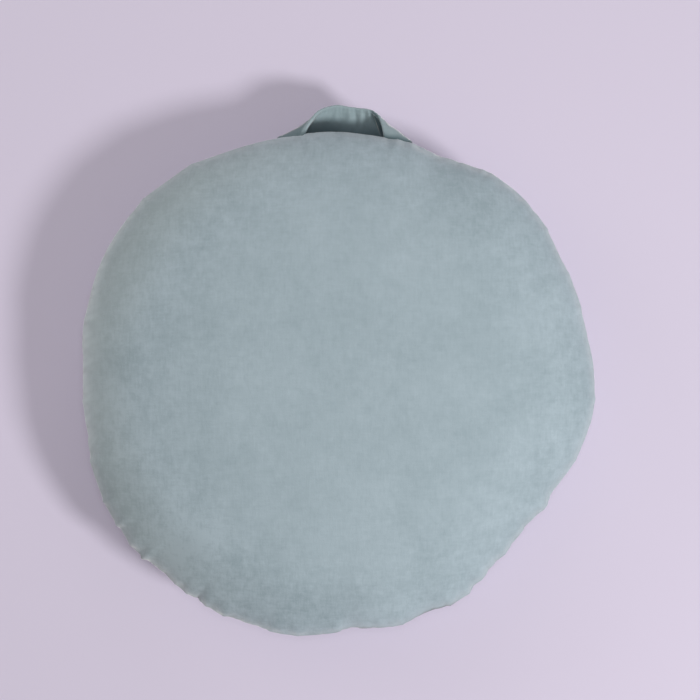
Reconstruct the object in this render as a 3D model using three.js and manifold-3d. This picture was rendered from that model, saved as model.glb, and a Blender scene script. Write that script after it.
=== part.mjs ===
// A soft round floor pouf with a carry strap: two round panels of velvet-like
// cloth sewn together in one seam round the widest line and filled, and a band
// of the same cloth, folded double, with both ends caught in that seam.
// Millimetres, +Z up. The pouf lies on its under panel on z = 0. The origin is
// the middle of the whole part's box, on the floor. The strap is towards +Y.

import * as THREE from "three";
import { mergeVertices } from "three/addons/utils/BufferGeometryUtils.js";
import Module from "manifold-3d";

// ---------------------------------------------------------------- sizes

// Middle of the bearings (the filling's middle) in the part's frame.
const MIDDLE_X = -0.33;
const MIDDLE_Y = -13.77;

const CROWN_ABOVE_SEAM = 88; // top of the crown over the seam's mean height
const SEAM_HEIGHT = 82; // mean height of the seam over the floor
const CROWN_FULLNESS = 2.4; // how far out the top stays level (power of the reach)
const CROWN_ROUND = 0.62; // how round the top turns down to the seam
const REST_REACH = 0.66; // share of the reach that lies flat on the floor
const UNDER_ROUND = 0.6; // how round the under panel turns up to the seam
const GATHER_REACH = 0.1; // share of the reach that a gather's fold runs inwards
const CROWN_LEAN_X = 5; // the fullest spot of the crown lies a little off the middle
const CROWN_LEAN_Y = -8;

// The seam line: reach from the middle and height over the floor, by bearing in
// degrees counter-clockwise from +X. It isn't a true circle: the filling has
// pushed it out to the back left and it is flat at the front right.
const SEAM_COLUMNS = { bearing: 0, reach: 1, height: 2 };
const SEAM = [
  [0, 302.1, 82],
  [15, 298.2, 81],
  [30, 300.5, 80],
  [45, 307.7, 81],
  [60, 297.4, 82],
  [75, 292.2, 82],
  [90, 293.5, 82],
  [105, 295.8, 82],
  [120, 302.5, 81],
  [135, 312.1, 79],
  [150, 313.8, 78],
  [165, 307.8, 79],
  [180, 301.4, 80],
  [195, 303.9, 81],
  [210, 310.1, 80],
  [225, 306.9, 82],
  [240, 304.9, 83],
  [255, 306.1, 82],
  [270, 295.3, 85],
  [285, 294.7, 86],
  [300, 292.5, 85],
  [315, 282.1, 86],
  [330, 284.1, 85],
  [345, 299.6, 83],
];

// Gathers: where the eased panel bulges out (+) or is drawn in (-) at the seam.
const GATHER_COLUMNS = { bearing: 0, out: 1, spread: 2 };
const GATHERS = [
  [25, 1.9, 2.2],
  [41, -1.6, 2.2],
  [61, -1.4, 2.2],
  [66, -3.4, 3.2],
  [73, 1.7, 1.5],
  [127, -1.4, 3.2],
  [167, 1.5, 2.2],
  [176, -1.4, 2.2],
  [185, 1.1, 1.5],
  [192, -1.4, 1.5],
  [199, 2.1, 2.2],
  [236, -1.4, 1.5],
  [239, 1.3, 1.5],
  [244, 1.6, 1.5],
  [251, -2.1, 3.2],
  [262, 1.6, 2.2],
  [273, -3.3, 2.2],
  [285, 1.7, 1.5],
  [292, -2.7, 2.2],
  [297, 1.4, 1.5],
  [300, 2.9, 2.2],
  [302, 1.2, 1.5],
  [309, -1.3, 1.5],
  [329, 2.5, 1.5],
  [334, -2.8, 2.2],
];

const BEARING_STEPS = 160;
const TOP_REACHES = [0.1, 0.24, 0.38, 0.5, 0.61, 0.7, 0.78, 0.85, 0.9, 0.94, 0.97, 0.99];
const UNDER_REACHES = [0.992, 0.975, 0.95, 0.915, 0.87, 0.81, 0.74, REST_REACH];

// The strap. Each row is one cut across the band: the edge that is near the
// middle at the two ends and outermost in the loop, the band's middle line, and
// the edge that hangs lowest under the seam. Measured from the pouf's middle, x
// along the seam and y outwards.
const STRAP_THICKNESS = 3.6; // two layers of cloth with their turnings
const STRAP_EDGE = 1.8; // thickness at the turned edges
const STRAP_STEPS = 52;
const STRAP_ACROSS = 6; // facets across each face
const STRAP_CLEARANCE = 0.6; // room left round the caught ends
const STRAP_COLUMNS = { near: [0, 1, 2], middle: [3, 4, 5], far: [6, 7, 8] };
const STRAP = [
  [-39.5, 276, 82, -56, 276, 83.5, -72, 275, 82],
  [-40.7, 287.6, 82.5, -56, 287.6, 82, -70, 286.2, 79.5],
  [-37.6, 297.5, 81, -52.5, 295, 75.5, -64, 289.5, 68],
  [-32.6, 306.2, 78, -45, 299.8, 67.5, -55, 291.5, 57],
  [-26.8, 314.6, 74, -36.5, 304.8, 61.5, -45, 293.3, 46],
  [-20.7, 320.3, 71, -28.5, 309, 57.5, -34.5, 295, 40],
  [-11, 324.4, 67, -15.5, 311.3, 54, -18.5, 297.3, 35.5],
  [-0.2, 326.52, 64, -2, 312.3, 52, -3, 298, 33.5],
  [13, 324.8, 62, 13, 311.8, 51, 13.5, 297.3, 33],
  [25.5, 323.2, 62, 27, 310.3, 51.5, 29.5, 295.3, 34],
  [35.2, 321.8, 64, 38.5, 309, 53, 43, 293.3, 37],
  [41.3, 319.4, 66, 46.5, 307, 56, 52.5, 291.3, 41.5],
  [45.8, 315.5, 69, 53, 304.5, 60.5, 60.5, 289.2, 47.5],
  [49.2, 310.9, 72, 58, 302.4, 65.5, 68, 287.8, 55],
  [51.9, 304.8, 75, 63, 299.6, 71, 75, 287, 63],
  [53.9, 297.6, 78.5, 67.5, 294.8, 77, 81, 284.8, 71.5],
  [55.6, 287.6, 82, 71, 286.6, 82, 86, 280.9, 80],
  [56.5, 275.5, 82, 71.5, 274.5, 83.5, 86.5, 270, 81.5],
];

// Gathers along the strap's outer edge, by place along the band (0 to 1).
const STRAP_GATHER_COLUMNS = { along: 0, out: 1, spread: 2 };
const STRAP_GATHERS = [
  [0.3, 0.9, 0.03],
  [0.43, -0.7, 0.03],
  [0.5, -1.4, 0.018],
  [0.54, 1.2, 0.016],
  [0.575, -1.4, 0.016],
  [0.61, 1.2, 0.016],
  [0.645, -1.3, 0.016],
  [0.68, 1.0, 0.018],
  [0.74, -0.8, 0.03],
];

const COLOUR = { velvet: 0x9db0b4, strap: 0x93a8ab };

// ---------------------------------------------------------------- helpers

const rad = THREE.MathUtils.degToRad;

// Value of a table's column at a bearing, smooth all the way round.
function ringValue(rows, columns, name, bearing) {
  const n = rows.length,
    step = 360 / n,
    t = (((bearing % 360) + 360) % 360) / step,
    i = Math.floor(t),
    f = t - i,
    at = (k) => rows[(i + k + n) % n][columns[name]],
    [p0, p1, p2, p3] = [at(-1), at(0), at(1), at(2)];
  return (
    p1 +
    0.5 * f * (p2 - p0 + f * (2 * p0 - 5 * p1 + 4 * p2 - p3 + f * (3 * (p1 - p2) + p3 - p0)))
  );
}

// Sum of the gathers at a bearing.
function gatherOut(bearing) {
  let sum = 0;
  for (const row of GATHERS) {
    const d = ((bearing - row[GATHER_COLUMNS.bearing] + 540) % 360) - 180;
    sum += row[GATHER_COLUMNS.out] * Math.exp(-((d / row[GATHER_COLUMNS.spread]) ** 2));
  }
  return sum;
}

// Place of a point along a table of cuts, smooth through every row.
function alongValue(rows, column, t) {
  const last = rows.length - 1,
    s = THREE.MathUtils.clamp(t, 0, 1) * last,
    i = Math.min(Math.floor(s), last - 1),
    f = s - i,
    at = (k) => rows[THREE.MathUtils.clamp(i + k, 0, last)][column],
    [p0, p1, p2, p3] = [at(-1), at(0), at(1), at(2)];
  return (
    p1 +
    0.5 * f * (p2 - p0 + f * (2 * p0 - 5 * p1 + 4 * p2 - p3 + f * (3 * (p1 - p2) + p3 - p0)))
  );
}

// A closed skin over rings of equal length, capped with a fan at each end.
function skin(rings, firstTip, lastTip) {
  const n = rings[0].length,
    points = [],
    faces = [];
  for (const ring of rings) for (const p of ring) points.push(p.x, p.y, p.z);
  for (let r = 0; r + 1 < rings.length; r++)
    for (let i = 0; i < n; i++) {
      const a = r * n + i,
        b = r * n + ((i + 1) % n),
        c = a + n,
        d = b + n;
      // the shorter diagonal keeps folds crisp
      const pa = rings[r][i],
        pb = rings[r][(i + 1) % n],
        pc = rings[r + 1][i],
        pd = rings[r + 1][(i + 1) % n];
      if (pa.distanceTo(pd) < pb.distanceTo(pc)) faces.push(a, c, d, a, d, b);
      else faces.push(a, c, b, b, c, d);
    }
  const first = points.length / 3;
  points.push(firstTip.x, firstTip.y, firstTip.z, lastTip.x, lastTip.y, lastTip.z);
  const end = (rings.length - 1) * n;
  for (let i = 0; i < n; i++) {
    faces.push(first, i, (i + 1) % n);
    faces.push(first + 1, end + ((i + 1) % n), end + i);
  }
  const g = new THREE.BufferGeometry();
  g.setAttribute("position", new THREE.Float32BufferAttribute(points, 3));
  g.setIndex(faces);
  return g;
}

// ---------------------------------------------------------------- cushion

// A point of the filled form: share u of the reach (0 middle, 1 seam), on the
// top panel or the under panel.
function cushionPoint(bearing, u, top) {
  const reach = ringValue(SEAM, SEAM_COLUMNS, "reach", bearing),
    height = ringValue(SEAM, SEAM_COLUMNS, "height", bearing),
    fold = Math.exp(-(((1 - u) / GATHER_REACH) ** 2)),
    r = u * reach + gatherOut(bearing) * fold,
    a = rad(bearing);
  let x = r * Math.cos(a),
    y = r * Math.sin(a),
    z;
  if (top) {
    const crown = SEAM_HEIGHT + CROWN_ABOVE_SEAM - height;
    z = height + crown * (1 - u ** CROWN_FULLNESS) ** CROWN_ROUND;
    const lean = (1 - u * u) ** 2;
    x += CROWN_LEAN_X * lean;
    y += CROWN_LEAN_Y * lean;
  } else {
    const t = Math.max(0, (u - REST_REACH) / (1 - REST_REACH));
    z = height * (1 - (1 - t * t) ** UNDER_ROUND);
  }
  return new THREE.Vector3(x + MIDDLE_X, y + MIDDLE_Y, z);
}

function cushionGeometry() {
  const bearings = Array.from({ length: BEARING_STEPS }, (_, i) => (360 * i) / BEARING_STEPS),
    ring = (u, top) => bearings.map((b) => cushionPoint(b, u, top)),
    rings = [
      ...TOP_REACHES.map((u) => ring(u, true)),
      ring(1, true),
      ...UNDER_REACHES.map((u) => ring(u, false)),
    ],
    tip = cushionPoint(0, 0, true);
  return skin(rings, tip, new THREE.Vector3(MIDDLE_X, MIDDLE_Y, 0));
}

// ---------------------------------------------------------------- strap

// A point of the band's middle surface: t along it, w across it from the near edge.
function strapPoint(t, w) {
  const read = (columns) =>
      new THREE.Vector3(...columns.map((column) => alongValue(STRAP, column, t))),
    near = read(STRAP_COLUMNS.near),
    middle = read(STRAP_COLUMNS.middle),
    far = read(STRAP_COLUMNS.far);
  return near
    .multiplyScalar((1 - w) * (1 - 2 * w))
    .addScaledVector(middle, 4 * w * (1 - w))
    .addScaledVector(far, w * (2 * w - 1));
}

// The cut across the band at a place along it: a closed ring of points round a
// flat oval, `grow` mm larger all round and `push` mm further along.
function strapCut(t, grow, push = 0) {
  const e = 0.01,
    t0 = Math.max(0, t - e),
    t1 = Math.min(1, t + e),
    frames = [];
  for (let i = 0; i <= STRAP_ACROSS; i++) {
    const w = i / STRAP_ACROSS,
      along = strapPoint(t1, w).sub(strapPoint(t0, w)).normalize(),
      across = strapPoint(t, Math.min(1, w + e)).sub(strapPoint(t, Math.max(0, w - e)));
    across.normalize();
    frames.push({ w, along, across, normal: across.clone().cross(along).normalize() });
  }
  const face = (side) =>
    frames.map(({ w, along, across, normal }) => {
      const edge = Math.min(w, 1 - w) * STRAP_ACROSS,
        half = (edge < 0.5 ? STRAP_EDGE : STRAP_THICKNESS) / 2 + grow;
      let wave = 0;
      for (const row of STRAP_GATHERS)
        wave +=
          row[STRAP_GATHER_COLUMNS.out] *
          Math.exp(
            -(((t - row[STRAP_GATHER_COLUMNS.along]) / row[STRAP_GATHER_COLUMNS.spread]) ** 2),
          );
      wave *= (1 - w) ** 1.5;
      return strapPoint(t, w)
        .addScaledVector(along, push)
        .addScaledVector(across, w === 0 ? -grow : w === 1 ? grow : 0)
        .addScaledVector(normal, wave + side * half)
        .add(new THREE.Vector3(MIDDLE_X, MIDDLE_Y, 0));
    });
  return [...face(-1), ...face(1).reverse()];
}

function strapGeometry(from, to, steps, grow, pushFirst = 0, pushLast = 0) {
  const rings = [];
  for (let i = 0; i <= steps; i++) {
    const t = from + ((to - from) * i) / steps;
    rings.push(strapCut(t, grow, i === 0 ? pushFirst : i === steps ? pushLast : 0));
  }
  const middle = (ring) =>
    ring.reduce((m, p) => m.add(p), new THREE.Vector3()).divideScalar(ring.length);
  return skin(rings, middle(rings[0]), middle(rings[rings.length - 1]));
}

// ---------------------------------------------------------------- joining

const wasm = await Module();
wasm.setup();

function solid(geometry) {
  const g = geometry.clone();
  g.deleteAttribute("normal");
  g.deleteAttribute("uv");
  const merged = mergeVertices(g, 1e-4);
  let s = new wasm.Manifold(
    new wasm.Mesh({
      numProp: 3,
      vertProperties: merged.attributes.position.array,
      triVerts: new Uint32Array(merged.index.array),
    }),
  );
  return s;
}

function geometryOf(s) {
  const m = s.getMesh(),
    g = new THREE.BufferGeometry();
  g.setAttribute("position", new THREE.BufferAttribute(new Float32Array(m.vertProperties), 3));
  g.setIndex(new THREE.BufferAttribute(new Uint32Array(m.triVerts), 1));
  g.computeVertexNormals();
  return g;
}

// The strap's two ends are caught between the panels: the filled form has a
// close pocket round each end, open at the seam.
let cushionSolid = solid(cushionGeometry());
const CAUGHT = 2.2 / (STRAP.length - 1); // share of the band's rows past the seam at each end
for (const [from, to, first, last] of [
  [0, CAUGHT, -STRAP_CLEARANCE, 0],
  [1 - CAUGHT, 1, 0, STRAP_CLEARANCE],
])
  cushionSolid = cushionSolid.subtract(
    solid(strapGeometry(from, to, 8, STRAP_CLEARANCE, first, last)),
  );
// slivers of the seam's sharp edge that a pocket cuts loose are trimmed off
cushionSolid = cushionSolid.decompose().sort((a, b) => b.volume() - a.volume())[0];

// ---------------------------------------------------------------- the part

const part = new THREE.Group();
part.name = "pouf";

const cushion = new THREE.Mesh(
  geometryOf(cushionSolid),
  new THREE.MeshStandardMaterial({ color: COLOUR.velvet, roughness: 0.85, metalness: 0 }),
);
cushion.name = "cushion";
part.add(cushion);

const strap = new THREE.Mesh(
  strapGeometry(0, 1, STRAP_STEPS, 0),
  new THREE.MeshStandardMaterial({ color: COLOUR.strap, roughness: 0.85, metalness: 0 }),
);
strap.name = "handle_strap";
part.add(strap);

export default part;
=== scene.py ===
"""A soft round floor pouf with a carry strap, seen from straight above on a pale floor.

The filled cover is built as two round panels that share one seam line, then filled by a
cloth simulation: the seam keeps its line, the eased edge of each panel gathers along it, and
the under panel spreads on the floor. The strap is lofted directly as a doubled, edge-stitched
band with both ends caught in the seam.
"""

import math

import bpy
import numpy as np
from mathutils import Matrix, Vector


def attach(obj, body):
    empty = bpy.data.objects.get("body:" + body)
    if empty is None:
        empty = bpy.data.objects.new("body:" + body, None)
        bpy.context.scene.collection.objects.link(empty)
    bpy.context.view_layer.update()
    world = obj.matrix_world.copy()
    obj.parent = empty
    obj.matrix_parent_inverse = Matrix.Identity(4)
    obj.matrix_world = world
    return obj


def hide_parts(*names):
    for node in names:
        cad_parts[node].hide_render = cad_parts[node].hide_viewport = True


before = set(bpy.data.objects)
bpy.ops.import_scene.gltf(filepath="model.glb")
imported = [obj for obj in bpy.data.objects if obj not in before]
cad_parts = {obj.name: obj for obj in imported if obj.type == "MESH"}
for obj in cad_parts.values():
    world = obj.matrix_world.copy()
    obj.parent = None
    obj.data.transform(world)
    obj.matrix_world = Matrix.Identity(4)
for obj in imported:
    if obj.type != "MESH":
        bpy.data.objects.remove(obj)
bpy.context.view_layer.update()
MM = 0.001

# ------------------------------------------------------------------ sizes, millimetres

MIDDLE = (-0.33, -13.77)  # middle of the bearings in the part's frame
TOP_HEIGHT = 170.0
CROWN_FULLNESS = 2.4
CROWN_ROUND = 0.62
REST_REACH = 0.66
UNDER_ROUND = 0.6
GATHER_REACH = 0.1
CROWN_LEAN = (5.0, -8.0)

# bearing (degrees from +X), reach of the seam from the middle, height of the seam
SEAM = [
    (0, 302.3, 82), (15, 298.2, 81), (30, 301.0, 80), (45, 307.3, 81),
    (60, 296.6, 82), (75, 292.2, 82), (90, 293.7, 82), (105, 295.5, 82),
    (120, 302.3, 81), (135, 311.7, 79), (150, 314.0, 78), (165, 307.6, 79),
    (180, 301.0, 80), (195, 303.9, 81), (210, 310.5, 80), (225, 307.0, 82),
    (240, 305.7, 83), (255, 306.2, 82), (270, 296.6, 85), (285, 294.7, 86),
    (300, 293.1, 85), (315, 281.0, 86), (330, 282.0, 85), (345, 297.8, 83),
]
# gathers at the seam: bearing, out (+) or in (-), spread before and after it in degrees
GATHERS = [
    (10, -0.9, 4.2, 0.7), (17, 1.8, 1.1, 4.2), (25, 1.3, 4.2, 0.7), (28, -0.8, 0.45, 1.8),
    (36, 1.5, 1.1, 1.8), (41, -1.4, 1.1, 2.8), (53.5, 1.2, 1.8, 0.7), (55.5, 2.6, 4.2, 1.8),
    (61, -1.3, 0.7, 4.2), (65, -1, 1.8, 1.8), (66.5, -1.9, 2.8, 1.8), (69, -1.2, 4.2, 0.7),
    (72.5, 1.5, 1.1, 2.8), (76.2, 1.2, 1.3, 1), (78.2, -0.9, 0.7, 0.6), (83.5, -0.7, 1.1, 2.8),
    (98.2, -2.2, 0.6, 3.6), (124, 4, 4, 5), (137, 1.2, 2.8, 1.1), (137, 1.3, 3.5, 4.2),
    (166.5, 1.5, 1.1, 4.2),
    (172.5, 0.7, 4.2, 0.45), (174.5, -1.2, 1.1, 2.8), (184.5, 1.2, 1.1, 1.8),
    (192.5, -1.8, 2.8, 0.7), (198, 2.3, 1.1, 4.2), (207.1, 1.6, 0.45, 1.1),
    (213.1, 1.6, 0.7, 0.45), (214.1, -1.3, 0.45, 1.8), (218.1, 2, 1.1, 1.8),
    (221.1, -0.7, 0.7, 0.45), (222.1, 1.7, 0.45, 0.45), (222.6, 3.5, 6, 0.7),
    (228.1, -1.3, 2.8, 1.1), (231.1, 0.9, 0.45, 0.45), (234.6, 1.7, 1.8, 0.7),
    (237.1, -2.8, 0.45, 0.45), (239.6, 1.3, 0.7, 0.45), (244.1, 2.7, 4.2, 0.7),
    (246.6, -0.4, 0.45, 1.1), (247.5, -1, 0.7, 2.8), (251.5, -2.2, 2.8, 1.8),
    (254, -1.6, 2.8, 0.45), (261, 1.5, 1.8, 2.8), (271, -2.3, 0.45, 4.2), (273, -2.6, 1.8, 2.8),
    (274.5, -1.2, 2.8, 0.45), (278.5, -1.1, 4.2, 0.7), (282.5, 0.8, 0.45, 2.8),
    (285, 1.8, 1.8, 1.1), (288, -0.9, 0.45, 2.8), (290.5, -2.1, 1.8, 2.8), (293, -1.5, 2.8, 1.1),
    (296.5, 2.3, 0.45, 2.8), (302, 1.8, 1.8, 0.45), (303.5, -2, 0.45, 1.8), (306, 1.2, 0.7, 1.1),
    (308.5, -1.7, 0.7, 1.8), (311.5, -0.9, 2.8, 0.45), (314, 1.9, 1.1, 2.8), (317, -1.3, 0.7, 1.1),
    (322, -1.5, 0.7, 1.8), (328, 1.7, 1.8, 1.1), (329.5, 3.1, 2.8, 0.7), (331, 2, 4.2, 0.45),
    (341.5, 0.7, 1.1, 0.7), (345, -0.8, 1.1, 1.8), (350.5, 0.9, 0.45, 2.8), (356, 2, 4.2, 1.1),
]
# where the under panel shows past the top one: bearing, how far, spread before and after
SLIPS = [
    (291.0, 1.7, 2.8, 2.6), (295.6, 2.0, 2.4, 1.8), (276, 1.8, 2.6, 2.0), (222, 1.4, 1.6, 1.2), (228.5, 1.2, 1.2, 1.2),
    (246, 0.8, 1.5, 1.5),
]

AROUND = 384  # points round the seam

# the strap, from the pouf's middle: one row for each cut across the band, with the points on
# its free edge (the near edge of the two ends), its middle line and its hidden edge
STRAP = [
    (-39.5, 276.0, 82, -56.0, 276.0, 83.5, -72.0, 275.0, 82),
    (-40.7, 287.6, 82.5, -56.0, 287.6, 82.0, -70.0, 286.2, 79.5),
    (-37.6, 297.5, 81, -52.5, 295.0, 75.5, -64.0, 289.5, 68),
    (-32.6, 306.2, 78, -45.0, 299.8, 67.5, -55.0, 291.5, 57),
    (-26.8, 314.6, 74, -36.5, 304.8, 61.5, -45.0, 293.3, 46),
    (-20.7, 320.3, 71, -28.5, 309.0, 57.5, -34.5, 295.0, 40),
    (-11.0, 324.4, 67, -15.5, 311.3, 54.0, -18.5, 297.3, 35.5),
    (-0.2, 326.52, 64, -2.0, 312.3, 52.0, -3.0, 298.0, 33.5),
    (13.0, 324.8, 62, 13.0, 311.8, 51.0, 13.5, 297.3, 33),
    (25.5, 323.2, 62, 27.0, 310.3, 51.5, 29.5, 295.3, 34),
    (35.2, 321.8, 64, 38.5, 309.0, 53.0, 43.0, 293.3, 37),
    (41.3, 319.4, 66, 46.5, 307.0, 56.0, 52.5, 291.3, 41.5),
    (45.8, 315.5, 69, 53.0, 304.5, 60.5, 60.5, 289.2, 47.5),
    (49.2, 310.9, 72, 58.0, 302.4, 65.5, 68.0, 287.8, 55),
    (51.9, 304.8, 75, 63.0, 299.6, 71.0, 75.0, 287.0, 63),
    (53.9, 297.6, 78.5, 67.5, 294.8, 77.0, 81.0, 284.8, 71.5),
    (55.6, 287.6, 82.0, 71.0, 286.6, 82.0, 86.0, 280.9, 80.0),
    (56.5, 275.5, 82, 71.5, 274.5, 83.5, 86.5, 270.0, 81.5),
]
# wrinkles down the strap from its outer edge: place along the band, out, spread
STRAP_WRINKLES = [
    (0.30, 0.8, 0.030), (0.385, -1.1, 0.014), (0.43, -0.9, 0.022), (0.475, 1.0, 0.016),
    (0.505, -1.7, 0.013), (0.535, 1.2, 0.016), (0.565, -1.5, 0.012), (0.60, 1.3, 0.018),
    (0.64, -1.4, 0.014), (0.67, 0.9, 0.016), (0.74, -0.8, 0.030),
]
STRAP_HALF = 1.8  # half the thickness of the doubled band
STRAP_EDGE_STITCH = 3.2  # edge stitching, in from each edge


# ------------------------------------------------------------------ helpers


def ring_value(column, bearing):
    """Value of a SEAM column at bearings in degrees, smooth all the way round."""
    n = len(SEAM)
    t = (np.asarray(bearing, float) % 360) / (360 / n)
    i = np.floor(t).astype(int)
    f = t - i
    v = np.array([row[column] for row in SEAM], float)
    p0, p1, p2, p3 = v[(i - 1) % n], v[i % n], v[(i + 1) % n], v[(i + 2) % n]
    return p1 + 0.5 * f * (
        p2 - p0 + f * (2 * p0 - 5 * p1 + 4 * p2 - p3 + f * (3 * (p1 - p2) + p3 - p0))
    )


def teeth(bearing, rows):
    out = np.zeros_like(np.asarray(bearing, float))
    for centre, size, before, after in rows:
        d = (bearing - centre + 540) % 360 - 180
        out += size * np.exp(-((np.abs(d) / np.where(d < 0, before, after)) ** 1.25))
    return out


def gather(bearing):
    return teeth(bearing, GATHERS)


def smooth01(x, a, b):
    t = np.clip((np.asarray(x, float) - a) / (b - a), 0, 1)
    return t * t * (3 - 2 * t)


def crown(u):
    return (1 - u**CROWN_FULLNESS) ** CROWN_ROUND


def under(u):
    t = np.clip((u - REST_REACH) / (1 - REST_REACH), 0, 1)
    return 1 - (1 - t * t) ** UNDER_ROUND


def new_object(name, verts, faces, smooth=True):
    me = bpy.data.meshes.new(name)
    me.from_pydata([tuple(v) for v in verts], [], faces)
    me.update()
    if smooth:
        me.polygons.foreach_set("use_smooth", [True] * len(me.polygons))
    o = bpy.data.objects.new(name, me)
    bpy.context.scene.collection.objects.link(o)
    return o


def coords(mesh):
    c = np.empty(len(mesh.vertices) * 3, "f")
    mesh.vertices.foreach_get("co", c)
    return c.reshape(-1, 3).astype(float)


# ------------------------------------------------------------------ the filled cover


def panel_profile(top):
    """Reach share u, height over/under the seam, and the run of cloth from the middle."""
    u = np.sin(np.linspace(0, math.pi / 2, 6001))
    z = 82 + 88 * crown(u) if top else 82 * under(u)
    r = 300 * u
    run = np.r_[0, np.cumsum(np.hypot(np.diff(r), np.diff(z)))]
    return u, r, z, run


def cover_mesh():
    """Both panels as rings of points from the seam to the middle. Returns the start shape, the
    cut shape (how large the cloth really is), faces, and for each point its panel, its
    distance along the cloth from the seam and its bearing."""
    start, cut, faces = [], [], []
    info = []  # panel (1 top, -1 under, 0 seam), distance from the seam, bearing
    rings_of = {}
    for top in (True, False):
        u, r, z, run = panel_profile(top)
        length = run[-1]
        # The cloth is cut as a flat round, so towards the seam there is more of it than the
        # seam has room for. The share of that which isn't shrunk away ends up as gathers.
        w0, share = (0.88, 0.40) if top else (0.60, 0.70)
        w = smooth01(u, w0, 1.0) * share
        rho = r + (run - r) * w
        fall = np.sqrt(np.clip(np.diff(run) ** 2 - np.diff(rho) ** 2, 0, None))
        zc = np.r_[0, np.cumsum(-fall)]
        zc -= zc[-1]
        d, n, rows = 0.0, AROUND, []
        while True:
            a = length - d
            uu = float(np.interp(a, run, u))
            if uu * 300 < 8:
                break
            rows.append((a, uu, n, d))
            step = 5.0 if d < 48 else 7.0 if d < 110 else 10.0
            if 2 * math.pi * uu * 300 / n < step * 0.55 and n > 6:
                n //= 2
            d += step
        rings = []
        for k, (a, uu, n, d) in enumerate(rows):
            if not top and k == 0:
                rings.append(rings_of[True][0])
                continue
            b = np.arange(n) * 360.0 / n
            reach, height = ring_value(1, b), ring_value(2, b)
            fold = math.exp(-(((1 - uu) / GATHER_REACH) ** 2))
            rr = uu * reach + gather(b) * fold
            zz = height + (TOP_HEIGHT - height) * crown(uu) if top else height * under(uu)
            lean = (1 - uu * uu) ** 2 if top else 0.0
            x = rr * np.cos(np.radians(b)) + CROWN_LEAN[0] * lean + MIDDLE[0]
            y = rr * np.sin(np.radians(b)) + CROWN_LEAN[1] * lean + MIDDLE[1]
            rc = float(np.interp(a, run, rho)) * reach / 300.0
            zr = float(np.interp(a, run, zc)) * (1 if top else -1)
            i0 = len(start)
            for j in range(n):
                start.append((x[j] * MM, y[j] * MM, zz[j] * MM))
                t = math.radians(b[j])
                cut.append((rc[j] * math.cos(t) * MM, rc[j] * math.sin(t) * MM, (82 + zr) * MM))
                info.append((0 if k == 0 else (1 if top else -1), d, b[j]))
            rings.append(list(range(i0, i0 + n)))
        rings_of[top] = rings
        centre = len(start)
        if top:
            start.append(((MIDDLE[0] + CROWN_LEAN[0]) * MM, (MIDDLE[1] + CROWN_LEAN[1]) * MM, TOP_HEIGHT * MM))
        else:
            start.append((MIDDLE[0] * MM, MIDDLE[1] * MM, 0.0))
        cut.append((0, 0, (82 + zc[0] * (1 if top else -1)) * MM))
        info.append((1 if top else -1, length, 0.0))

        def add(*f):
            faces.append(f if top else f[::-1])

        for A, B in zip(rings[:-1], rings[1:]):
            n, m = len(A), len(B)
            if n == m:
                for j in range(n):
                    add(A[j], A[(j + 1) % n], B[(j + 1) % n], B[j])
            else:
                for j in range(m):
                    f0, f1, f2 = A[2 * j], A[2 * j + 1], A[(2 * j + 2) % n]
                    c0, c1 = B[j], B[(j + 1) % m]
                    add(c0, f0, f1)
                    add(c0, f1, c1)
                    add(c1, f1, f2)
        last = rings[-1]
        for j in range(len(last)):
            add(last[j], last[(j + 1) % len(last)], centre)
    return start, cut, faces, np.array(info), rings_of


def fill(start, cut, faces, seam_ring):
    """Fills the cover: pressure from inside, no gravity, the seam held on its line, the floor
    under it. Returns the settled points."""
    scene = bpy.context.scene
    o = new_object("filling_run", start, faces)
    o.shape_key_add(name="Basis")
    key = o.shape_key_add(name="cut")
    key.data.foreach_set("co", np.array(cut, "f").ravel())
    key.value = 0
    pins = o.vertex_groups.new(name="seam")
    pins.add([int(i) for i in seam_ring], 1.0, "REPLACE")
    mod = o.modifiers.new("fill", "CLOTH")
    st = mod.settings
    st.quality = 5
    st.mass = 0.3
    st.tension_stiffness, st.compression_stiffness, st.shear_stiffness = 20, 10, 10
    st.bending_stiffness = 4
    st.tension_damping = st.compression_damping = st.shear_damping = 5
    st.air_damping = 1
    st.use_pressure = True
    st.uniform_pressure_force = 10
    st.effector_weights.gravity = 0
    st.vertex_group_mass = "seam"
    st.pin_stiffness = 1
    st.rest_shape_key = key
    mod.collision_settings.use_collision = True
    mod.collision_settings.use_self_collision = False
    mod.collision_settings.distance_min = 0.001
    me = bpy.data.meshes.new("run_floor")
    me.from_pydata([(-1, -1, -0.001), (1, -1, -0.001), (1, 1, -0.001), (-1, 1, -0.001)], [], [(0, 1, 2, 3)])
    ground = bpy.data.objects.new("run_floor", me)
    scene.collection.objects.link(ground)
    ground.modifiers.new("stop", "COLLISION")
    ground.collision.thickness_outer = 0.001
    scene.frame_start, scene.frame_end = 1, 20
    for f in range(1, 21):
        scene.frame_set(f)
    dg = bpy.context.evaluated_depsgraph_get()
    out = coords(o.evaluated_get(dg).data)
    scene.frame_set(1)
    bpy.data.objects.remove(o)
    bpy.data.objects.remove(ground)
    return out


def neighbours(count, faces):
    """Edge list of a mesh as two index arrays, for averaging over neighbours."""
    pairs = set()
    for f in faces:
        for a, b in zip(f, f[1:] + f[:1]):
            pairs.add((a, b) if a < b else (b, a))
    e = np.array(sorted(pairs))
    i, j = np.r_[e[:, 0], e[:, 1]], np.r_[e[:, 1], e[:, 0]]
    degree = np.bincount(i, minlength=count).astype(float)
    return i, j, degree


def ironed(p, i, j, degree, rounds):
    """Points with their small folds smoothed out and their large form kept."""
    q = p.copy()
    for _ in range(rounds):
        for k in (0.5, -0.52):
            mean = np.stack([np.bincount(i, q[j, c], len(q)) for c in range(3)], 1) / degree[:, None]
            q += k * (mean - q)
    return q


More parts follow.
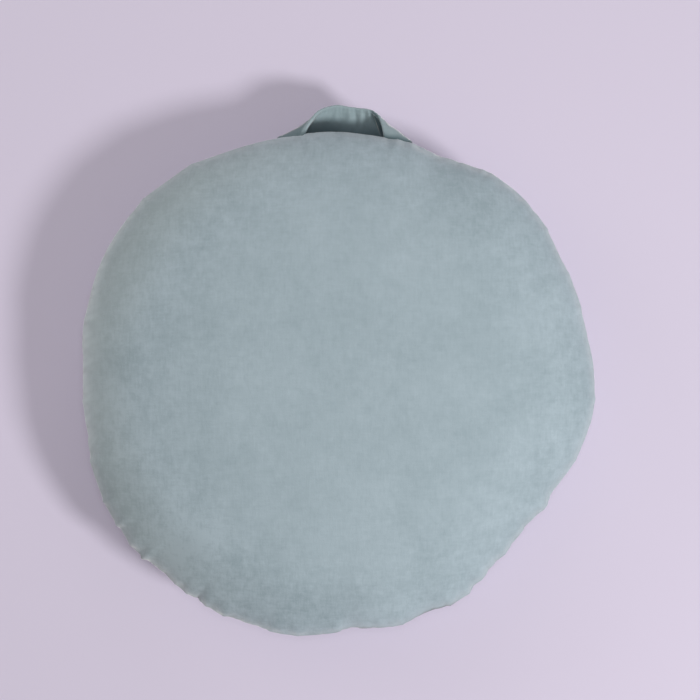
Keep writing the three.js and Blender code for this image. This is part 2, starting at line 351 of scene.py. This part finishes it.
def build_cushion():
    start, cut, faces, info, rings = cover_mesh()
    start = np.array(start)
    seam_ring = rings[True][0]
    faces = [tuple(f) for f in faces]
    p = fill(start, cut, faces, seam_ring)
    # no point moves further than this from where it began
    cap = 0.014
    move = p - start
    length = np.linalg.norm(move, axis=1)
    p = start + move * np.minimum(1, cap / np.maximum(length, 1e-9))[:, None]

    panel, dist = info[:, 0], info[:, 1]
    i, j, degree = neighbours(len(p), faces)
    flat = ironed(p, i, j, degree, 60)
    # the top panel's gathers die out a short way from the seam; the under panel keeps more
    fold = np.where(panel >= 0, 1 - 0.9 * smooth01(dist, 8, 46), 1 - 0.45 * smooth01(dist, 20, 90))
    swell = np.where(panel >= 0, 0.12 * smooth01(dist, 10, 60), 0.8 * smooth01(dist, 0, 30))
    q = start + (flat - start) * swell[:, None] + (p - flat) * fold[:, None]
    q[panel == 0] = start[panel == 0]
    q[:, 2] = np.maximum(q[:, 2], 0.0)
    q[(panel < 0) & (q[:, 2] < 0.0014), 2] = 0.0
    return q, faces, info, rings


def between(points):
    """A closed ring of points with one more between each two, on a smooth curve."""
    mid = (9 * (points + np.roll(points, -1, 0)) - np.roll(points, 1, 0) - np.roll(points, -2, 0)) / 16
    return np.stack([points, mid], 1).reshape(-1, points.shape[1])


def seam_detail(p, faces, info, rings):
    """Adds close rows beside the seam and draws it into a fine crease between two lips: the
    top panel's, and the under panel's, which here and there stands out past it."""
    seam = rings[True][0]
    n = len(seam)
    q = np.array(p)
    b = np.arange(2 * n) * 180.0 / n
    radial = np.c_[np.cos(np.radians(b)), np.sin(np.radians(b)), np.zeros(2 * n)]
    slip = teeth(b, SLIPS)
    dropped = set()
    for top in (True, False):
        first = rings[top][1]
        for k in range(n):
            dropped.add(frozenset((seam[k], seam[(k + 1) % n], first[k], first[(k + 1) % n])))
    out = [f for f in faces if frozenset(f) not in dropped]
    pts = [tuple(v) for v in q]
    line = between(q[seam])
    chains = {}
    for top in (True, False):
        first = between(q[rings[top][1]])
        rows = []
        # share of the way to the next row, how far out, how far up or down
        for share, puff, rise, lip in ((0.06, 0.25, 0.75, 0.3), (0.3, 0.35, 1.0, -0.35), (0.62, 0.45, 0.5, 0)):
            back = slip * (1 - share) if top else slip * lip
            mid = line * (1 - share) + first * share + radial * ((puff - back) * MM)[:, None]
            mid[:, 2] += (rise if top else -rise) * MM * 0.55 + (0 if top else 0.6 * lip * MM) * slip
            i0 = len(pts)
            pts.extend(tuple(v) for v in mid)
            rows.append(list(range(i0, i0 + 2 * n)))
        chains[top] = rows
    crease = []
    for k in range(2 * n):
        v = line[k] - radial[k] * (1.7 + 0.5 * slip[k]) * MM
        v = (v[0], v[1], v[2] - 0.6 * slip[k] * MM)
        if k % 2:
            crease.append(len(pts))
            pts.append(v)
        else:
            crease.append(seam[k // 2])
            pts[seam[k // 2]] = v
    for top in (True, False):
        chain = [crease, *chains[top]]
        for A, B in zip(chain[:-1], chain[1:]):
            for k in range(2 * n):
                f = (A[k], A[(k + 1) % (2 * n)], B[(k + 1) % (2 * n)], B[k])
                out.append(f if top else f[::-1])
        A, B = chain[-1], rings[top][1]
        for k in range(n):
            f0, f1, f2, c0, c1 = A[2 * k], A[2 * k + 1], A[(2 * k + 2) % (2 * n)], B[k], B[(k + 1) % n]
            for f in ((c0, f0, f1), (c0, f1, c1), (c1, f1, f2)):
                out.append(f if top else f[::-1])
    return pts, out


def tucks():
    """Small creases that run in from the seam: bearing, depth, half width and run in mm."""
    rng = np.random.default_rng(11)
    rows, at = [], 0.0
    while at < 360:
        at += rng.uniform(1.1, 3.6)
        depth = rng.uniform(0.15, 1.0) ** 1.6
        if 75 < at < 108:
            depth *= 0.5
        rows.append((at, depth * 1.0, rng.uniform(1.8, 4.2), rng.uniform(7, 24)))
    return rows


def shape_edge(me):
    """Brings the outline onto the seam's measured line and sinks the small creases, then paints highlight and shade
    into two point attributes.
    """
    c = coords(me) / MM
    c[:, :2] -= MIDDLE
    normal = np.empty(len(me.vertices) * 3, "f")
    me.vertices.foreach_get("normal", normal)
    normal = normal.reshape(-1, 3).astype(float)
    b = np.degrees(np.arctan2(c[:, 1], c[:, 0])) % 360
    r = np.hypot(c[:, 0], c[:, 1])
    reach, height = ring_value(1, b) + gather(b), ring_value(2, b)
    bins = 4 * AROUND
    which = np.round(b / 360 * bins).astype(int) % bins
    widest = np.zeros(bins)
    np.maximum.at(widest, which, r)
    grid = np.arange(bins) * 360.0 / bins
    target = ring_value(1, grid) + gather(grid)
    known = widest > target - 6
    have = np.interp(grid, grid[known], widest[known], period=360)
    short = target - have
    away = np.maximum(reach - r, 0)
    shift = np.interp(b, grid, short, period=360) * np.exp(-((away / 9) ** 2))
    top = c[:, 2] > height + 0.2
    along = np.hypot(away, c[:, 2] - height)
    sink = np.zeros(len(c))
    for at, depth, half, run in tucks():
        d = ((b - at + 540) % 360 - 180) * math.pi / 180 * r
        near = np.abs(d) < 4 * half
        sink[near] += depth * np.exp(-((np.abs(d[near]) / half) ** 1.3)) * np.exp(-((along[near] / run) ** 1.4))
    sink *= 1 - np.exp(-((along / 2.0) ** 2))
    sink[~top] *= 0.7
    c[:, 0] += shift * np.cos(np.radians(b)) - normal[:, 0] * sink
    c[:, 1] += shift * np.sin(np.radians(b)) - normal[:, 1] * sink
    c[:, 2] -= normal[:, 2] * sink
    c[:, 2] = np.maximum(c[:, 2], 0)
    c[:, :2] += MIDDLE
    me.vertices.foreach_set("co", (c * MM).astype("f").ravel())
    me.update()
    # painted light, written to two point attributes: a painted highlight towards the seam at the left
    # and a little at the right, where the rim catches the light; and painted shade in the creases, in a
    # band at the lower left, on the fold of the seam, over the strap's roots and where the under panel
    # shows past the top one
    away = np.maximum(reach - r, 0)
    # painted highlight: how strongly the rim is lightened at each bearing, most at the left
    rim_highlight = np.interp(b, [132, 140, 150, 160, 170, 180, 190, 200, 208], [0, 0.22, 0.33, 0.43, 0.50, 0.50, 0.48, 0.20, 0])
    deep = np.interp(b, [140, 150, 160, 170, 180, 190, 200], [6, 8, 14, 20, 15, 17, 12])
    mottle = 1 + 0.22 * np.sin(b * 1.3 + 1) * np.sin(b * 0.71 + away / 5) + 0.14 * np.sin(b * 3.1 + away / 2.5)
    lip = rim_highlight * mottle * np.exp(-((away / deep) ** 2.2))
    thin = smooth01(b, 132, 150) * (1 - smooth01(b, 214, 224))
    # a thin painted highlight on the seam's lip along the left
    lip += 0.12 * thin * np.exp(-((away / 1.6) ** 2))
    # a painted highlight along the rim at the right
    turned = (b - 286) % 360
    lip += 0.17 * smooth01(turned, 0, 14) * (1 - smooth01(turned, 92, 145)) * np.exp(-((away / 7) ** 2))
    # painted shade: a darker band in from the seam at the lower left, a darker line where the under panel shows past
    # the top one, and along the fold of the seam
    shade = smooth01(b, 198, 208) * (1 - smooth01(b, 272, 284)) * smooth01(away, 5, 14) * (1 - smooth01(away, 45, 80))
    show = np.clip(teeth(b, SLIPS) / 1.7, 0, 1) * np.exp(-((away / 2.6) ** 2))
    fold_line = 0.16 * smooth01(b, 222, 232) * (1 - smooth01(b, 318, 330)) * np.exp(-((away / 1.3) ** 2))
    # painted shadow on the top panel's edge over the roots of the strap
    x = c[:, 0] - MIDDLE[0]
    roots = np.exp(-(((x - 74) / 15) ** 6)) + 0.7 * np.exp(-(((x + 55) / 17) ** 6))
    roots *= (c[:, 1] > 0) * np.exp(-((away / 1.6) ** 2)) * (c[:, 2] < height + 1.0)
    # all painted shade: in the small creases, the lower-left band, the slips, the fold and over the strap's roots
    crease = np.clip(sink, 0, 1) * (0.16 + 0.2 * thin) + 0.13 * shade + 0.95 * show + fold_line + 0.2 * roots
    me.attributes.new("painted_highlight", "FLOAT", "POINT").data.foreach_set("value", np.clip(lip, 0, 1).astype("f"))
    me.attributes.new("painted_shade", "FLOAT", "POINT").data.foreach_set("value", np.clip(crease, 0, 1).astype("f"))


def make_cushion():
    p, faces, info, rings = build_cushion()
    pts, out = seam_detail(p, faces, info, rings)
    o = new_object("cushion_cover", pts, out)
    bpy.context.view_layer.objects.active = o
    sub = o.modifiers.new("fine", "SUBSURF")
    sub.levels = sub.render_levels = 1
    dg = bpy.context.evaluated_depsgraph_get()
    me = bpy.data.meshes.new_from_object(o.evaluated_get(dg))
    o.modifiers.clear()
    old = o.data
    o.data = me
    bpy.data.meshes.remove(old)
    me.name = "cushion_cover"
    shape_edge(me)
    me.polygons.foreach_set("use_smooth", [True] * len(me.polygons))
    return o


# ------------------------------------------------------------------ the strap


def along_value(column, t):
    v = np.array([row[column] for row in STRAP], float)
    last = len(v) - 1
    s = np.clip(np.asarray(t, float), 0, 1) * last
    i = np.minimum(np.floor(s).astype(int), last - 1)
    f = s - i
    p0, p1, p2, p3 = (v[np.clip(i + k, 0, last)] for k in (-1, 0, 1, 2))
    return p1 + 0.5 * f * (
        p2 - p0 + f * (2 * p0 - 5 * p1 + 4 * p2 - p3 + f * (3 * (p1 - p2) + p3 - p0))
    )


def make_strap():
    steps, across, turn = 240, 26, 8
    t = np.linspace(0, 1, steps + 1)
    near = np.stack([along_value(c, t) for c in (0, 1, 2)], 1)
    mid = np.stack([along_value(c, t) for c in (3, 4, 5)], 1)
    far = np.stack([along_value(c, t) for c in (6, 7, 8)], 1)
    w = np.linspace(0, 1, across + 1)
    # a smooth cut through the three points of each row
    grid = (
        near[:, None] * ((1 - w) * (1 - 2 * w))[None, :, None]
        + mid[:, None] * (4 * w * (1 - w))[None, :, None]
        + far[:, None] * (w * (2 * w - 1))[None, :, None]
    )
    du = np.gradient(grid, axis=0)
    dw = np.gradient(grid, axis=1)
    normal = np.cross(dw, du)
    normal /= np.linalg.norm(normal, axis=2)[:, :, None]
    step_w = np.linalg.norm(np.diff(grid, axis=1), axis=2)
    cross_run = np.concatenate([np.zeros((steps + 1, 1)), np.cumsum(step_w, axis=1)], axis=1)
    width = cross_run[:, -1]
    run = np.r_[0, np.cumsum(np.linalg.norm(np.diff(mid, axis=0), axis=1))]
    free = smooth01(np.minimum(t, 1 - t), 0.06, 0.2)
    rng = np.random.default_rng(7)
    phase = rng.uniform(0, 6.28, 6)
    wave = sum(o * np.exp(-(((t - c) / sp) ** 2)) for c, o, sp in STRAP_WRINKLES)
    edge = np.minimum(cross_run, width[:, None] - cross_run)
    fine = 0.2 * np.sin(run / 5.3 * 2 * math.pi + phase[0] + 2 * np.sin(run / 31 + phase[1]))
    soft = 0.45 * np.sin(run[:, None] / 19.0 * 2 * math.pi + phase[2] + 3 * w[None, :])
    lift = (
        1.3 * (wave * free)[:, None] * ((0.25 + 3.2 * w) * (1 - w) ** 1.5)[None, :]
        + (fine * free)[:, None] * np.exp(-((edge / 7) ** 2))
        + soft * free[:, None] * np.sin(math.pi * w)[None, :]
    )
    grid = grid + normal * lift[:, :, None]
    stitch = -0.40 * np.exp(-(((edge - STRAP_EDGE_STITCH) / 0.7) ** 2))
    pitch = 0.12 * np.sin(run / 3.0 * 2 * math.pi)[:, None] * np.exp(-(((edge - STRAP_EDGE_STITCH) / 1.1) ** 2))
    half = STRAP_HALF + 0.22 * (1 - np.exp(-((edge / 6) ** 2))) + stitch + pitch
    out0 = (grid[:, 0] - grid[:, 1]) / np.linalg.norm(grid[:, 0] - grid[:, 1], axis=1)[:, None]
    out1 = (grid[:, -1] - grid[:, -2]) / np.linalg.norm(grid[:, -1] - grid[:, -2], axis=1)[:, None]
    rings = []
    for s in range(steps + 1):
        ring = [grid[s, k] + normal[s, k] * half[s, k] for k in range(across + 1)]
        for k in range(1, turn):
            a = math.pi * k / turn
            ring.append(grid[s, -1] + normal[s, -1] * half[s, -1] * math.cos(a) + out1[s] * half[s, -1] * math.sin(a))
        ring += [grid[s, k] - normal[s, k] * half[s, k] for k in range(across, -1, -1)]
        for k in range(1, turn):
            a = math.pi * k / turn
            ring.append(grid[s, 0] - normal[s, 0] * half[s, 0] * math.cos(a) + out0[s] * half[s, 0] * math.sin(a))
        rings.append(ring)
    # painted shade, which deepens the colour: down the inner face into the narrow gap by the cover, at
    # the right hand end of the loop where the right leg shades it, and on the outer face of the left
    # hand root; and a faint painted highlight on the turned free edge near the left hand root
    deep, pale = [], []
    right = smooth01(t, 0.60, 0.665)
    root = 1 - smooth01(t, 0.16, 0.30)
    bright = smooth01(t, 0.03, 0.08) * (1 - smooth01(t, 0.2, 0.27))
    for s in range(steps + 1):
        up = 0.22 * math.exp(-(((t[s] - 0.5) / 0.11) ** 2))
        inner = np.maximum(0.94 * smooth01(w, 0.12 + up, 0.95 + up), right[s] * smooth01(w, 0.0, 0.09))
        outer = np.full(across + 1, 0.66 * root[s]) * smooth01(w, 0.04, 0.14)
        row = [inner[k] for k in range(across + 1)] + [inner[-1]] * (turn - 1)
        row += [outer[k] for k in range(across, -1, -1)]
        row += [0.85 * right[s] * float(smooth01(k / turn, 0.2, 0.6)) for k in range(1, turn)]
        deep += row
        row = [0.0] * (2 * across + 2 + turn - 1) + [0.05 * bright[s]] * (turn - 1)
        pale += row
    n = len(rings[0])
    verts = [((x + MIDDLE[0]) * MM, (y + MIDDLE[1]) * MM, z * MM) for ring in rings for x, y, z in ring]
    faces = []
    for s in range(steps):
        for k in range(n):
            a, b = s * n + k, s * n + (k + 1) % n
            faces.append((a, a + n, b + n, b))
    faces.append(tuple(range(n)))
    faces.append(tuple(range(steps * n, steps * n + n))[::-1])
    o = new_object("carry_strap", verts, faces)
    # painted shadow: darker still where each root goes in under the top panel's edge
    v = np.array(verts) / MM - (*MIDDLE, 0)
    bearing = np.degrees(np.arctan2(v[:, 1], v[:, 0])) % 360
    clear = np.hypot(v[:, 0], v[:, 1]) - ring_value(1, bearing) - gather(bearing)
    tucked = np.exp(-((np.maximum(clear, 0) / 4.8) ** 1.9)) * np.where(v[:, 0] > 0, 0.95, 0.62)
    tucked *= 1 - smooth01(np.abs(v[:, 0] - 8), 110, 120)
    deep = np.maximum(deep, tucked)
    o.data.attributes.new("painted_shade", "FLOAT", "POINT").data.foreach_set("value", deep.astype("f"))
    o.data.attributes.new("painted_highlight", "FLOAT", "POINT").data.foreach_set("value", pale)
    return o


# ------------------------------------------------------------------ materials


def node(tree, kind, at=(0, 0), **values):
    nd = tree.nodes.new(kind)
    nd.location = at
    for k, v in values.items():
        if k in nd.inputs:
            nd.inputs[k].default_value = v
        else:
            setattr(nd, k, v)
    return nd


def noise(tree, vector, scale, detail=2.0, rough=0.5, distortion=0.0):
    nd = tree.nodes.new("ShaderNodeTexNoise")
    nd.inputs["Scale"].default_value = scale
    nd.inputs["Detail"].default_value = detail
    nd.inputs["Roughness"].default_value = rough
    nd.inputs["Distortion"].default_value = distortion
    tree.links.new(vector, nd.inputs["Vector"])
    return nd.outputs["Fac"]


def maths(tree, op, a, b=None, c=None):
    nd = tree.nodes.new("ShaderNodeMath")
    nd.operation = op
    for k, v in enumerate((a, b, c)):
        if v is None:
            continue
        if isinstance(v, (int, float)):
            nd.inputs[k].default_value = v
        else:
            tree.links.new(v, nd.inputs[k])
    return nd.outputs[0]


def velvet(name, dark, light, rim=None, deep=None, sheen=0.9, fine=1.0):
    """Short-pile cloth: cloudy patches where the pile leans, fine streaks along the weave,
    a grain of single tufts, and sheen at grazing angles. Painted light is mixed into the colour
    too: painted sheen that greys the rim and strengthens its mottling, and a painted highlight and
    painted shade read from point attributes."""
    m = bpy.data.materials.new(name)
    m.use_nodes = True
    tree = m.node_tree
    tree.nodes.clear()
    out = tree.nodes.new("ShaderNodeOutputMaterial")
    bsdf = tree.nodes.new("ShaderNodeBsdfPrincipled")
    tree.links.new(bsdf.outputs[0], out.inputs[0])
    coord = tree.nodes.new("ShaderNodeTexCoord").outputs["Object"]

    def stretched(x, y, z):
        mp = tree.nodes.new("ShaderNodeMapping")
        mp.inputs["Scale"].default_value = (x, y, z)
        tree.links.new(coord, mp.inputs["Vector"])
        return mp.outputs[0]

    cloud = noise(tree, coord, 9, 3, 0.55, 0.4)
    patch = noise(tree, coord, 34, 3, 0.6, 0.3)
    smudge = noise(tree, coord, 120, 2, 0.6)
    grain = noise(tree, coord, 700, 2, 0.6)
    warp = noise(tree, stretched(1.0, 0.16, 0.3), 420, 2, 0.5)
    weft = noise(tree, stretched(0.16, 1.0, 0.3), 420, 2, 0.5)
    blot = noise(tree, coord, 66, 3, 0.6, 0.3)
    parts = [
        (cloud, 0.46), (patch, 0.28), (blot, 0.18), (smudge, 0.30), (warp, 0.22 * fine),
        (weft, 0.18 * fine), (grain, 0.19 * fine),
    ]
    total = None
    for value, weight in parts:
        term = maths(tree, "MULTIPLY", maths(tree, "SUBTRACT", value, 0.5), weight * 2)
        total = term if total is None else maths(tree, "ADD", total, term)
    shift = tree.nodes.new("ShaderNodeVectorMath")
    shift.operation = "SUBTRACT"
    tree.links.new(coord, shift.inputs[0])
    shift.inputs[1].default_value = (MIDDLE[0] * MM, MIDDLE[1] * MM, 0)
    flat = tree.nodes.new("ShaderNodeVectorMath")
    flat.operation = "MULTIPLY"
    tree.links.new(shift.outputs[0], flat.inputs[0])
    flat.inputs[1].default_value = (1, 1, 0)
    reach = tree.nodes.new("ShaderNodeVectorMath")
    reach.operation = "LENGTH"
    tree.links.new(flat.outputs[0], reach.inputs[0])
    if rim:
        # the mottling is made stronger towards the seam: its tone is the cloth's own, its extra strength
        # there is painted sheen, standing in for grazing light bringing out the nap
        rim_contrast = tree.nodes.new("ShaderNodeMapRange")
        rim_contrast.interpolation_type = "SMOOTHSTEP"
        rim_contrast.inputs["From Min"].default_value = 0.16
        rim_contrast.inputs["From Max"].default_value = 0.30
        rim_contrast.inputs["To Min"].default_value = 1.0
        rim_contrast.inputs["To Max"].default_value = 1.7
        tree.links.new(reach.outputs["Value"], rim_contrast.inputs["Value"])
        total = maths(tree, "MULTIPLY", total, rim_contrast.outputs[0])
        # stronger on the left side too (painted sheen)
        side = tree.nodes.new("ShaderNodeVectorMath")
        side.operation = "DOT_PRODUCT"
        tree.links.new(flat.outputs[0], side.inputs[0])
        side.inputs[1].default_value = (-0.99, 0.14, 0)
        left = tree.nodes.new("ShaderNodeMapRange")
        left.interpolation_type = "SMOOTHSTEP"
        left.inputs["From Min"].default_value = 0.0
        left.inputs["From Max"].default_value = 0.28
        tree.links.new(side.outputs["Value"], left.inputs["Value"])
        more = maths(tree, "ADD", maths(tree, "MULTIPLY", left.outputs[0], 0.38), 1.0)
        total = maths(tree, "MULTIPLY", total, more)
        # and most of all at the corner between the left and the near side (painted sheen)
        near = tree.nodes.new("ShaderNodeVectorMath")
        near.operation = "DOT_PRODUCT"
        tree.links.new(flat.outputs[0], near.inputs[0])
        near.inputs[1].default_value = (-0.62, -0.78, 0)
        corner = tree.nodes.new("ShaderNodeMapRange")
        corner.interpolation_type = "SMOOTHSTEP"
        corner.inputs["From Min"].default_value = 0.15
        corner.inputs["From Max"].default_value = 0.27
        tree.links.new(near.outputs["Value"], corner.inputs["Value"])
        more = maths(tree, "ADD", maths(tree, "MULTIPLY", corner.outputs[0], 0.4), 1.0)
        total = maths(tree, "MULTIPLY", total, more)
    mixf = maths(tree, "ADD", total, 0.5)
    clamp = tree.nodes.new("ShaderNodeClamp")
    tree.links.new(mixf, clamp.inputs[0])
    mix = tree.nodes.new("ShaderNodeMix")
    mix.data_type = "RGBA"
    tree.links.new(clamp.outputs[0], mix.inputs[0])
    mix.inputs[6].default_value = (*dark, 1)
    mix.inputs[7].default_value = (*light, 1)
    base = mix.outputs[2]
    if rim:
        # painted sheen: the colour turns greyer towards the seam on the left side, standing in for the grazing light
        # on that rim
        sheen_band = tree.nodes.new("ShaderNodeMapRange")
        sheen_band.interpolation_type = "SMOOTHSTEP"
        sheen_band.inputs["From Min"].default_value = 0.215
        sheen_band.inputs["From Max"].default_value = 0.30
        sheen_band.inputs["To Max"].default_value = 0.46
        tree.links.new(reach.outputs["Value"], sheen_band.inputs["Value"])
        uneven = maths(tree, "MULTIPLY", sheen_band.outputs[0], maths(tree, "ADD", maths(tree, "MULTIPLY", cloud, 0.8), 0.6))
        uneven = maths(tree, "MULTIPLY", uneven, left.outputs[0])
        grey = tree.nodes.new("ShaderNodeMix")
        grey.data_type = "RGBA"
        tree.links.new(uneven, grey.inputs[0])
        tree.links.new(base, grey.inputs[6])
        grey.inputs[7].default_value = (*rim, 1)
        base = grey.outputs[2]
    # painted highlight: a pale colour mixed in where the point attribute asks, on rims that catch the light
    highlight_attr = tree.nodes.new("ShaderNodeAttribute")
    highlight_attr.attribute_name = "painted_highlight"
    pale = tree.nodes.new("ShaderNodeMix")
    pale.data_type = "RGBA"
    tree.links.new(highlight_attr.outputs["Fac"], pale.inputs[0])
    tree.links.new(base, pale.inputs[6])
    pale.inputs[7].default_value = (0.68, 0.765, 0.775, 1)
    base = pale.outputs[2]
    # painted shade: a deep colour mixed in where the point attribute asks, in creases, crevices and under edges
    if deep:
        away = tree.nodes.new("ShaderNodeAttribute")
        away.attribute_name = "painted_shade"
        painted_shade_mix = tree.nodes.new("ShaderNodeMix")
        painted_shade_mix.data_type = "RGBA"
        tree.links.new(away.outputs["Fac"], painted_shade_mix.inputs[0])
        tree.links.new(base, painted_shade_mix.inputs[6])
        painted_shade_mix.inputs[7].default_value = (*deep, 1)
        base = painted_shade_mix.outputs[2]
    tree.links.new(base, bsdf.inputs["Base Color"])
    bsdf.inputs["Roughness"].default_value = 0.9
    bsdf.inputs["Specular IOR Level"].default_value = 0.25
    bsdf.inputs["Sheen Weight"].default_value = sheen
    bsdf.inputs["Sheen Roughness"].default_value = 0.35
    bsdf.inputs["Sheen Tint"].default_value = (1.0, 0.98, 0.93, 1)
    height = maths(tree, "ADD", maths(tree, "MULTIPLY", warp, 0.5), maths(tree, "MULTIPLY", weft, 0.5))
    height = maths(tree, "ADD", height, maths(tree, "MULTIPLY", grain, 0.7))
    height = maths(tree, "ADD", height, maths(tree, "MULTIPLY", smudge, 0.8))
    bump = tree.nodes.new("ShaderNodeBump")
    bump.inputs["Strength"].default_value = 0.35
    bump.inputs["Distance"].default_value = 0.0006
    tree.links.new(height, bump.inputs["Height"])
    tree.links.new(bump.outputs[0], bsdf.inputs["Normal"])
    return m


def floor_material():
    m = bpy.data.materials.new("floor")
    m.use_nodes = True
    b = m.node_tree.nodes["Principled BSDF"]
    b.inputs["Base Color"].default_value = (0.715, 0.648, 0.78, 1)
    b.inputs["Roughness"].default_value = 0.75
    b.inputs["Specular IOR Level"].default_value = 0.1
    return m


# ------------------------------------------------------------------ the scene

cushion = make_cushion()
cushion.data.materials.clear()
cushion.data.materials.append(velvet("velvet", (0.317, 0.396, 0.432), (0.419, 0.506, 0.553), rim=(0.425, 0.482, 0.468), deep=(0.130, 0.170, 0.190)))
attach(cushion, "root")
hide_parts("cushion")

strap = make_strap()
# painted shade: the strap's velvet is a darker copy of the cover's, darkened for the shade the strap sits in
strap.data.materials.append(velvet("strap_velvet", (0.265, 0.345, 0.365), (0.365, 0.450, 0.478), deep=(0.085, 0.130, 0.145), fine=0.8))
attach(strap, "root")
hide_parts("handle_strap")

floor_mesh = bpy.data.meshes.new("floor")
floor_mesh.from_pydata([(-6, -6, 0), (6, -6, 0), (6, 6, 0), (-6, 6, 0)], [], [(0, 1, 2, 3)])
floor = bpy.data.objects.new("floor", floor_mesh)
bpy.context.scene.collection.objects.link(floor)
floor.data.materials.append(floor_material())

scene = bpy.context.scene
scene.view_settings.view_transform = "Standard"
scene.view_settings.look = "None"

world = bpy.data.worlds.new("world")
scene.world = world
world.use_nodes = True
bg = world.node_tree.nodes["Background"]
bg.inputs[0].default_value = (1.0, 0.995, 1.0, 1)
bg.inputs[1].default_value = 0.24


def area(name, at, target, size, power, colour=(1, 1, 1)):
    d = bpy.data.lights.new(name, "AREA")
    d.shape = "DISK"
    d.size = size
    d.energy = power
    d.color = colour
    o = bpy.data.objects.new(name, d)
    o.location = at
    o.rotation_euler = (Vector(at) - Vector(target)).to_track_quat("Z", "Y").to_euler()
    scene.collection.objects.link(o)
    return o


def towards(azimuth, elevation, distance):
    az, el = math.radians(azimuth), math.radians(elevation)
    return (
        distance * math.cos(el) * math.cos(az),
        distance * math.cos(el) * math.sin(az),
        distance * math.sin(el),
    )


area("key", towards(-29.3, 42.0, 3.6), (0, 0, 0.05), 0.72, 72.5)
area("overhead", (0.09, 0.24, 3.6), (0.014, 0.023, 0), 1.0, 27.5, (1.0, 0.995, 1.0))
area("back_fill", towards(84, 22, 2.6), (0, 0, 0.08), 1.6, 6, (1.0, 0.97, 1.0))
area("low_fill", towards(148, 18, 2.6), (0, 0, 0.08), 1.8, 11, (1.0, 0.98, 0.94))

cam_data = bpy.data.cameras.new("camera")
cam = bpy.data.objects.new("camera", cam_data)
scene.collection.objects.link(cam)
cam_data.sensor_width = 36
cam_data.lens = 36 * 1500 / 700
cam_data.clip_start, cam_data.clip_end = 0.05, 50
cam.location = (0.0138, 0.0228, 1.85)
cam.rotation_euler = (0, 0, 0)
scene.camera = cam
